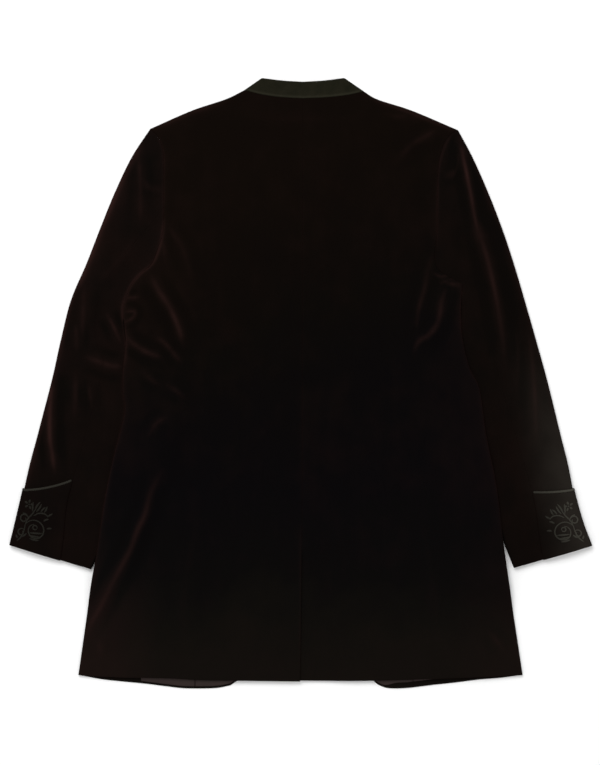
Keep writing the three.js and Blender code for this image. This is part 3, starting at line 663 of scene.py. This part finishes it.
class Sleeve:
    """A flattened tube. A place on it is a section number, a share of the width, and a height. Its traits
    are its light, the rise of its cuff's top edge, and how its underarm corner is tucked under the body."""

    def __init__(self, side):
        table = np.column_stack([SECTIONS[side], HIND_SEAM])
        self.places = np.arange(LAST * STEPS + 1) / STEPS
        self.outer = smooth(table[:, :2])
        self.inner = smooth(table[:, 2:4])
        self.hind = smooth(table[:, [0, 1, 4]])[:, 2]
        self.armhole = smooth(OUTLINE[side]["armhole"])
        self.glow, self.cuff_rise, self.tuck = SLEEVE_TRAITS[side]
        self.extra = reach_along(self.armhole)[-1] - np.linalg.norm(table[0, :2] - table[0, 2:4])
        self.net = self.settled_net()

    def settled_net(self):
        """Points in plan, evenly spread between the edges: straight rows, but for the part above BEND."""
        share = np.linspace(0, 1, 45)[:, None]
        rows = np.linspace(0, LAST, LAST * 10 + 1)
        outer, inner, _, _ = self.section(rows)
        net = outer[:, None] + (inner - outer)[:, None] * share
        head = net[:BEND * 10 + 1]
        bulge = spaced(self.armhole, share[:, 0]) - head[0]
        head += bulge * (1 - rows[:len(head), None, None] / BEND) ** 2
        for _ in range(3000):
            down, over = (head[2:, 1:-1] - head[:-2, 1:-1]) / 2, (head[1:-1, 2:] - head[1:-1, :-2]) / 2
            steep, wide, skew = [(a * b).sum(-1, keepdims=True) for a, b in
                                 ((down, down), (over, over), (down, over))]
            cross = (head[2:, 2:] - head[2:, :-2] - head[:-2, 2:] + head[:-2, :-2]) / 4
            even = (steep * (head[1:-1, 2:] + head[1:-1, :-2]) + wide * (head[2:, 1:-1] + head[:-2, 1:-1])
                    - 2 * skew * cross) / (2 * (steep + wide))
            head[1:-1, 1:-1] += 0.9 * (even - head[1:-1, 1:-1])
        return net

    def section(self, k):
        found = [np.interp(k, self.places, line) for line in (*self.outer.T, *self.inner.T, self.hind)]
        outer, inner = np.stack(found[:2], axis=-1), np.stack(found[2:4], axis=-1)
        width = np.linalg.norm(outer - inner, axis=-1) + self.extra * np.clip(1 - k, 0, 1)
        return outer, inner, found[4], width

    def plan(self, k, t):
        """The place in plan, between the nearest points of the net."""
        rows, columns = self.net.shape[0] - 1, self.net.shape[1] - 1
        k, t = np.broadcast_arrays(np.clip(k, 0, LAST) * rows / LAST, t * columns)
        row, column = np.minimum(k.astype(int), rows - 1), np.clip(t.astype(int), 0, columns - 1)
        down, over = (k - row)[..., None], (t - column)[..., None]
        above = self.net[row, column] * (1 - over) + self.net[row, column + 1] * over
        below = self.net[row + 1, column] * (1 - over) + self.net[row + 1, column + 1] * over
        return above * (1 - down) + below * down

    def on_top(self, k, t, out=0.0):
        """A place on the upper side."""
        return self.settle(k, t, PRESSED + out + self.puff(k, t), np.ones(k.shape))

    def puff(self, k, t):
        return PUFF * np.sin(math.pi * np.clip(t / 0.62, 0, 1)) ** 2 * eased(k / 2)

    def settle(self, k, t, height, top):
        plan = self.plan(k, t)
        body = lift(self.plan(np.zeros(k.shape), t)) * np.clip(1 - k / 3, 0, 1)
        cuff = CUFF_WALL * eased((k - 8.2) / 0.6)
        soft = (creases(plan, SLEEVE_CREASES)[0] + waves(plan, 0.3)) * top
        beneath = np.maximum(creases(plan, BENEATH_CREASES)[0], 0) * (height < 0.5)
        soft = (soft + beneath) * eased(k / 0.5)
        return np.concatenate([plan, (height + body + cuff + soft)[..., None]], axis=-1)

    def ring(self, k, columns, out=0.0):
        """Places round the tube. A column is a side and tenths of the width, or an edge and an angle."""
        made = []
        for kind, value in columns:
            _, _, hind, width = self.section(k)
            if kind in ("outer", "inner"):
                reach = HALF - (HALF + out) * math.cos(value)
                t = reach / width if kind == "outer" else 1 - reach / width
                height = HALF + (HALF + out) * math.sin(value)
                made.append(self.settle(k, t, height, np.full(k.shape, max(0.0, math.sin(value)) ** 3)))
                continue
            bend = value / 4 if value <= 4 else (10 - value) / 6
            t = value / 10 + (hind - 0.4) * bend
            if kind == "top":
                made.append(self.on_top(k, t, out))
            else:
                made.append(self.settle(k, t, -out, np.zeros(k.shape)))
        return np.stack(made, axis=-2)


def turned(edge, first):
    """Columns round one edge of the flattened tube, from beneath to the top or back."""
    return [(edge, math.radians(angle)) for angle in np.linspace(first, -first, 13)]


NEAR = [0.0, 0.04, 0.09, 0.16]
UPPER_RING = ([("under", 8 - n) for n in NEAR] + [("under", n) for n in np.linspace(7.7, 0.45, 30)]
              + turned("outer", -90) + [("top", n) for n in np.linspace(0.45, 3.7, 26)]
              + [("top", 4 - n) for n in NEAR[::-1]])
UNDER_RING = ([("top", 4 + n) for n in NEAR] + [("top", n) for n in np.linspace(4.3, 9.55, 40)]
              + turned("inner", 90) + [("under", n) for n in np.linspace(9.55, 8.3, 9)]
              + [("under", 8 + n) for n in NEAR[::-1]])
sleeves = {side: Sleeve(side) for side in SIDES}


def outer_painted_sheen(places):
    """Painted sheen on the right sleeve, which grows lighter towards its outer edge."""
    x, y = places[..., 0], places[..., 1]
    edge = np.interp(-y, -sleeves["right"].outer[:, 1], sleeves["right"].outer[:, 0])
    return 1.05 * eased((x - edge + 92) / 96) ** 1.5 * eased((100 - y) / 300) * (places[..., 2] > HALF)


def closing(heights):
    """From 1 on the lower layer of a flat tube to -1 on its upper one, which draws an open end together."""
    return np.clip((heights.min() + heights.max() - 2 * heights) / 5, -1, 1)


def sleeve_cloth(part, side, ring):
    sleeve = sleeves[side]
    rows = np.concatenate([[0, 0.012, 0.03, 0.06], np.linspace(0.1, LAST - 0.12, 200),
                           [LAST - 0.07, LAST - 0.04]])
    places = sleeve.ring(rows, ring)
    tuck = falling(np.linalg.norm(places[..., :2] - sleeve.inner[0], axis=-1), 2, 18)[..., None]
    places += tuck * np.array(sleeve.tuck)
    places[..., 2] = np.maximum(places[..., 2], 0)
    for column, depth in enumerate((1.0, 0.35, 0.1, 0.0)):
        for at in (column, -1 - column):
            inwards = 1 if places[len(rows) // 2, at, 2] < HALF + 3 else -1
            places[:, at, 2] += inwards * 0.2 * depth
    for row, depth in enumerate((1.0, 0.45, 0.15, 0.02)):
        places[row, :, 2] += 0.9 * depth * closing(places[row, :, 2])
    light = creases(places[..., :2], SLEEVE_CREASES + SEAM_LIGHT + RIM_LIGHT)[1]
    glow = np.zeros(places.shape[:2])
    for at, (kind, value) in enumerate(ring):
        if kind == "top":
            glow[:, at] = sleeve.glow + light[:, at] + 0.04 * bell(value, 0.5)
        elif kind == "outer":
            glow[:, at] = sleeve.glow + 0.03 + light[:, at] * eased(0.5 + value)
    pinch = np.broadcast_to(0.2 + 0.8 * eased(rows / 0.7)[:, None], places.shape[:2])
    return cloth(f"{part}_sleeve_cloth_{side}", places, velvet, f"{part}_sleeve_{side}", glow=glow,
                 veil=outer_painted_sheen(places), tone=0.63, pinch=pinch, tube=True)


for side in SIDES:
    upper = sleeve_cloth("upper", side, UPPER_RING)
    under = sleeve_cloth("under", side, UNDER_RING)

# Cuffs: a shaped band of velvet sewn on over each sleeve end, from the forearm seam round the outer edge to
# the hind-arm seam. Its top edge curves up towards that seam.


def cuff_top(side, column):
    """The section number of the cuff's top edge in a column. The right cuff's edge is flatter."""
    kind, value = column
    across = 0.0 if kind == "outer" else min(1.0, value / 4)
    return 9.95 - sleeves[side].cuff_rise * across ** 1.3


for side in SIDES:
    shares = steps_along(100, 3.2, (0.0, 0.8, 2.0), (0.0, 0.8, 2.0))
    places = []
    for column in UPPER_RING:
        start = cuff_top(side, column)
        places.append(sleeves[side].ring(start + (LAST - start) * shares, [column], CUFF_WALL)[:, 0])
    places = np.stack(places, axis=1)
    places[..., 2] = np.maximum(places[..., 2], 0.02)
    for row, depth in ((0, 0.7), (1, 0.25), (-2, 0.25), (-1, 0.7)):
        places[row, :, 2] += depth * closing(places[row, :, 2])
    glow = sleeves[side].glow * np.array([kind != "under" for kind, value in UPPER_RING])
    for step, depth in enumerate((1.4, 0.9, 0.4, 0.1)):
        places[:, -1 - step, 2] -= depth
    cuff = cloth(f"cuff_cloth_{side}", places, velvet, f"cuff_{side}", glow=glow, veil=outer_painted_sheen(places),
                 tone=0.6, wall=2.0, tube=True)

# Piping: a twisted cord of dark grey-green thread along the top edge of each cuff. It follows that edge
# round the sleeve and is sewn down with the cuff.


def cord_material():
    """Twisted cord: strands that run slantwise round it, with fine fibres."""
    nodes = Nodes("cord")
    split = nodes.node("SeparateXYZ", {"Vector": nodes.node("UVMap", uv_map="UVMap")})
    strands = ((split.other("X") * 6.28 + split.other("Y") * 6.28).sine() + 1) * 0.5
    fibres = nodes.noise(2600)
    colour = nodes.blend(strands, (0.0058, 0.0051, 0.0035), (0.0128, 0.0110, 0.0075))
    colour = nodes.blend(fibres * 0.4, colour, (0.0046, 0.0040, 0.0028))
    # The veil mark lightens the cord: painted sheen towards the right sleeve's outer edge, plus an even pale
    # share on the piping.
    colour = nodes.blend(nodes.mark("veil"), colour, (0.0430, 0.0400, 0.0310))
    return nodes.finish(colour, 0.75, 0.12, bumps=(strands + fibres * 0.3, 0.0004, 0.8),
                        sheen=(0.015, 0.4, (0.7, 0.7, 0.45)))


cord_finish = cord_material()


def cord_along(name, line, width, height, sides=8, pitch=2.6, pale=0.0):
    """A flattened cord round a line of points in mm, with a width and a height for each point."""
    line = np.asarray(line, float)
    tangent = np.gradient(line, axis=0)
    tangent /= np.linalg.norm(tangent, axis=1)[:, None]
    across = np.cross(tangent, (0, 0, 1))
    across /= np.maximum(np.linalg.norm(across, axis=1)[:, None], 1e-6)
    out = np.cross(across, tangent)
    angles = np.linspace(0, 2 * math.pi, sides + 1)
    rings = (line[:, None] + across[:, None] * np.cos(angles)[None, :, None] * width[:, None, None]
             + out[:, None] * np.sin(angles)[None, :, None] * height[:, None, None])
    rings[:, -1] = rings[:, 0]
    piece = shaped(name, rings, closed=True)
    turns = reach_along(line)[-1] / pitch
    for mark in piece.data.uv_layers["UVMap"].data:
        mark.uv = (mark.uv[0], mark.uv[1] * turns)
    piece.data.materials.append(cord_finish)
    places = np.array([vertex.co for vertex in piece.data.vertices]) * 1000
    # The veil mark: painted sheen towards the right sleeve's outer edge, plus the even pale share given to
    # the piping.
    set_values(piece, "veil", outer_painted_sheen(places) * 0.8 + pale)
    return piece


for side in SIDES:
    line = [sleeves[side].ring(np.array([cuff_top(side, column) - 0.05]), [column], 1.5)[0, 0]
            for column in UPPER_RING[2:-2]]
    line = spaced(np.array(line), np.linspace(0, 1, 220))
    line[:, 2] = np.maximum(line[:, 2], 1.55)
    ends = 0.3 + 0.7 * rolled(np.minimum(np.arange(220), np.arange(220)[::-1]), 4)
    piping = cord_along(f"cuff_cord_{side}", line, 1.8 * ends, 1.5 * ends, pale=0.2)
    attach(piping, "root")
    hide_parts(f"cuff_piping_{side}")

# Embroidery: scrolls, leaves and a small flower in the same cord and in satin stitch, sewn by hand on the
# outer part of each cuff. The layout is this part's own.


def spiral(centre, start, turns, first, last):
    """A scroll from an outer radius to an inner one; angles are in degrees."""
    share = np.linspace(0, 1, max(20, int(abs(turns) * 50)))
    angle = math.radians(start) + share * turns * 2 * math.pi
    radius = first + (last - first) * share ** 0.8
    return np.stack([centre[0] + radius * np.cos(angle), centre[1] + radius * np.sin(angle)], axis=-1)


def leaf(root, angle, length, bend=0.0):
    """The middle line of a leaf that grows from its root at an angle in degrees."""
    share = np.linspace(0, 1, 14)
    way = math.radians(angle) + bend * share
    step = length / 13
    return np.array(root) + np.stack([np.cumsum(np.cos(way)), np.cumsum(np.sin(way))], axis=-1) * step


STEMS = [
    spiral((31, 33), 165, -1.15, 17, 9),
    spiral((10.5, 45), 10, 1.1, 7.5, 3.0),
    spiral((11.5, 24), 70, 1.0, 6.2, 2.6),
    smooth([(14.5, 38), (16.5, 47), (21, 55), (24, 63)], 10),
    smooth([(8, 10), (12, 16), (14.5, 26), (14.5, 38)], 10),
    smooth([(24, 54), (31, 60), (40, 62), (46, 59)], 10),
    spiral((30, 37), 0, 0.98, 3.4, 3.0),
]
LEAVES = [
    ((22, 58), 112, 15, -0.35), ((24, 60), 88, 17, -0.5), ((26, 60), 58, 15, 0.4),
    ((33, 62), 75, 11, -0.5), ((38, 63), 62, 11, 0.5), ((44, 60), 30, 9, 0.5),
    ((22, 27), 8, 20, 0.18), ((22, 23), 2, 18, 0.22), ((25, 19), -4, 14, 0.3),
    ((16, 50), 150, 9, 0.5), ((13, 18), 30, 9, 0.6), ((9, 14), 150, 6, -0.6), ((40, 50), 55, 9, -0.5),
    ((47, 40), 40, 8, -0.6),
]
FLOWER = (13, 68)

for side in SIDES:
    sleeve = sleeves[side]
    from_hem = reach_along(sleeve.outer[::-1])[::-1]

    def sewn_on(points, out):
        """Places on the cuff from points given as mm from its outer edge and mm above its hem."""
        k = np.interp(-points[:, 1], -from_hem, sleeve.places)
        _, _, _, width = sleeve.section(k)
        return sleeve.on_top(k, points[:, 0] / width, CUFF_WALL + out)

    def sew(name, line, out, ends, power, width, height, pitch=1.3):
        """A thread, plump in its middle: its width and height are each a least and an added size."""
        plump = np.sin(math.pi * np.linspace(*ends, len(line))) ** power
        thread = cord_along(f"{name}_{side}", sewn_on(line, out), width[0] + width[1] * plump,
                            height[0] + height[1] * plump, 6, pitch)
        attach(thread, "root")

    for n, stem in enumerate(STEMS):
        sew(f"scroll_{n + 1}", stem, 0.3, (0.06, 0.94), 0.35, (0, 1.25), (0, 1), 2.2)
    for n, (root, angle, length, bend) in enumerate(LEAVES):
        sew(f"leaf_{n + 1}", leaf(root, angle, length, bend), 0.2, (0.05, 0.96), 0.8, (0.3, 1.3), (0.2, 0.8))
    for n in range(5):
        angle = 18 + 72 * n
        petal = leaf(leaf(FLOWER, angle, 1.7)[-1], angle, 5.2)
        sew(f"petal_{n + 1}", petal, 0.2, (0.08, 0.94), 0.7, (0.3, 1.5), (0.2, 0.8))
    knot = leaf(np.array(FLOWER) - (1.2, 0), 0, 2.4)
    sew("knot", knot, 0.4, (0.08, 0.92), 0.6, (0.3, 1), (0.3, 1))

# Collar: one narrow stand collar of dense dark green felt, a ring that is pressed flat and open at the
# centre front. Its lower edge is turned in and sewn to the neckline.


def felt_material():
    nodes = Nodes("felt")
    matted = nodes.noise(420, 4.0)
    fibres = nodes.streaks(1500, 3200, 1500, 2.0)
    mottle = nodes.noise(75, 3.0)
    colour = nodes.blend((mottle * 1.8 - 0.4).clamped(), (0.0068, 0.0066, 0.0034), (0.0122, 0.0108, 0.0062))
    colour = nodes.blend((matted * 1.5 - 0.3).clamped() * 0.5, colour, (0.0052, 0.0052, 0.0028))
    colour = nodes.blend(nodes.mark("glow").clamped(), colour, (0.0240, 0.0225, 0.0145))
    return nodes.finish(colour, 0.95, 0.05, bumps=(matted + fibres * 0.5, 0.0005, 0.8),
                        sheen=(0.02, 0.5, (0.7, 0.72, 0.5)))


felt = felt_material()
rise = np.array([0.0, 0.03, 0.08, 0.15, 0.22, 0.3, 0.4, 0.5, 0.6, 0.7, 0.8, 0.88, 0.94, 0.98, 1.0])
ring_half = {}
for side in SIDES:
    outline = OUTLINE[side]
    inwards = -1 if side == "left" else 1
    share = np.linspace(0, 1, 34)[:-1]
    low = spaced(smooth(outline["neck_front"]), share)
    lean = np.array([0, 28]) + np.array([-inwards * 24, -10]) * share[:, None]
    plan = low[None] + lean[None] * rise[:, None, None]
    height = lift(plan) + (lap(plan) if side == "right" else 0)
    front_part = np.dstack([plan, height])
    neck, collar_edge = smooth(outline["neck_back"])[::-1], smooth(outline["collar_top"])
    fold = neck[0] + (collar_edge[0] - neck[0]) * rise[:, None]
    first_step = np.array(outline["neck_back"][-2], float) - outline["neck_back"][-1]
    first_step /= np.linalg.norm(first_step)
    inward = first_step + (np.array([-inwards, 0]) - first_step) * rise[:, None]
    angles = np.radians(np.linspace(-90, 90, 13))
    side_part = np.stack([np.concatenate([
        fold + inward * (HALF - HALF * math.cos(angle)),
        np.full((len(rise), 1), HALF + HALF * math.sin(angle))], axis=1) for angle in angles], axis=1)
    share = np.linspace(0, 1, 34)[1:]
    foot, rim = spaced(neck, share), spaced(collar_edge, share)
    plan = foot[None] + (rim - foot)[None] * rise[:, None, None]
    corner = np.array(outline["shoulder"][0])
    height = PRESSED + LOFT * eased(np.linalg.norm(plan - corner, axis=-1) / 60)
    back_part = np.dstack([plan, height])
    ring_half[side] = np.concatenate([front_part, side_part, back_part], axis=1)
places = np.concatenate([ring_half["left"], ring_half["right"][:, ::-1][:, 1:]], axis=1)
highs = places[..., 2] > HALF
edge_low, edge_high = 1 - rolled(rise, 0.10), 1 - rolled(1 - rise, 0.08)
roll_in = (edge_high * 0.9 - bell(rise - 0.09, 0.05) * 0.7 + edge_low * 0.6)[:, None]
places[..., 2] = np.maximum(places[..., 2] - np.where(highs, roll_in, -roll_in * 0.6), 0.02)
glow = 0.5 * bell(rise[:, None] - 0.07, 0.06)
collar = cloth("collar_felt", places, felt, "collar", glow=glow, wall=2.2, inside=felt, tube=True)

# Facing and lining: strips of satin inside the fronts, sewn to their turned-up hems, which show where the
# fronts hang below the back hem. Facing and lining meet at an upright seam.
SATIN_WALL = 1.0
SEAM_GAP = 0.3
TURN_UP = 3.6
STRIPS = {
    "lining_left": ("left", -240, -159, -405),
    "facing_left": ("left", -158.6, -76, -402),
    "facing_right": ("right", 84, 168, -402),
    "lining_right": ("right", 168.4, 248, -405),
}
for name, (side, start, end, top_y) in STRIPS.items():
    outline = OUTLINE[side]
    low = np.vstack([smooth(outline["front_edge"])[-120:-1], smooth(outline["hem_front"])])
    order = np.argsort(low[:, 0])
    x = np.linspace(start, end, 42)
    hem_y = np.interp(x, low[order, 0], low[order, 1]) + TURN_UP + 5.5 * eased((x - 122) / 24)
    up_share = np.array([0, 0.02, 0.06, 0.12, 0.2, 0.3, 0.4, 0.5, 0.6, 0.7, 0.8, 0.9, 1.0])[:, None]
    y = hem_y + (top_y - hem_y) * up_share
    plan = np.dstack([np.broadcast_to(x, y.shape), y])
    pucker = 0.18 * np.sin(x / 3.1 + 1.2 * np.sin(x / 11)) * np.exp(-up_share * 6)
    turned_in = 0.5 * (1 - rolled(up_share * 45, 3))
    seam_end = 0.5 * (1 - rolled(np.minimum(x - start, end - x), 2.5))
    height = WALL + SEAM_GAP + SATIN_WALL + lift(plan) + pucker - turned_in - seam_end
    strip = cloth(f"{name}_satin", np.dstack([plan, height]), satin, name, wall=SATIN_WALL)

# Buttons: four plain dark horn buttons with a raised rim, sewn to the left front. They lie face down
# under it.


def horn_material():
    nodes = Nodes("horn")
    grain = nodes.streaks(160, 500, 160, 4.0)
    colour = nodes.blend((grain * 1.6 - 0.3).clamped(), (0.010, 0.007, 0.0055), (0.040, 0.026, 0.018))
    return nodes.finish(colour, 0.28 + grain * 0.15, 0.5, bumps=(grain, 0.0001, 0.4))


horn = horn_material()
BUTTON_PROFILE = [(0.01, 0.9), (4.6, 0.9), (6.2, 1.2), (7.6, 0.35), (9.2, 0.0), (10.4, 0.15), (11.3, 0.8),
                  (11.5, 1.6), (11.2, 2.4), (10.2, 2.95), (0.01, 3.0)]
for n, y in enumerate(BUTTONS):
    mesh = bmesh.new()
    profile = [mesh.verts.new((r * MM, 0, z * MM)) for r, z in BUTTON_PROFILE]
    edges = [mesh.edges.new(pair) for pair in zip(profile, profile[1:])]
    bmesh.ops.spin(mesh, geom=profile + edges, cent=(0, 0, 0), axis=(0, 0, 1), angle=2 * math.pi, steps=48,
                   use_merge=True)
    closed_up(mesh, 0.02 * MM)
    bmesh.ops.translate(mesh, verts=mesh.verts, vec=(0, y * MM, 0))
    button = piece_of(f"horn_button_{n + 1}", mesh)
    button.data.materials.append(horn)
    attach(button, "root")
    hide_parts(f"button_{n + 1}")
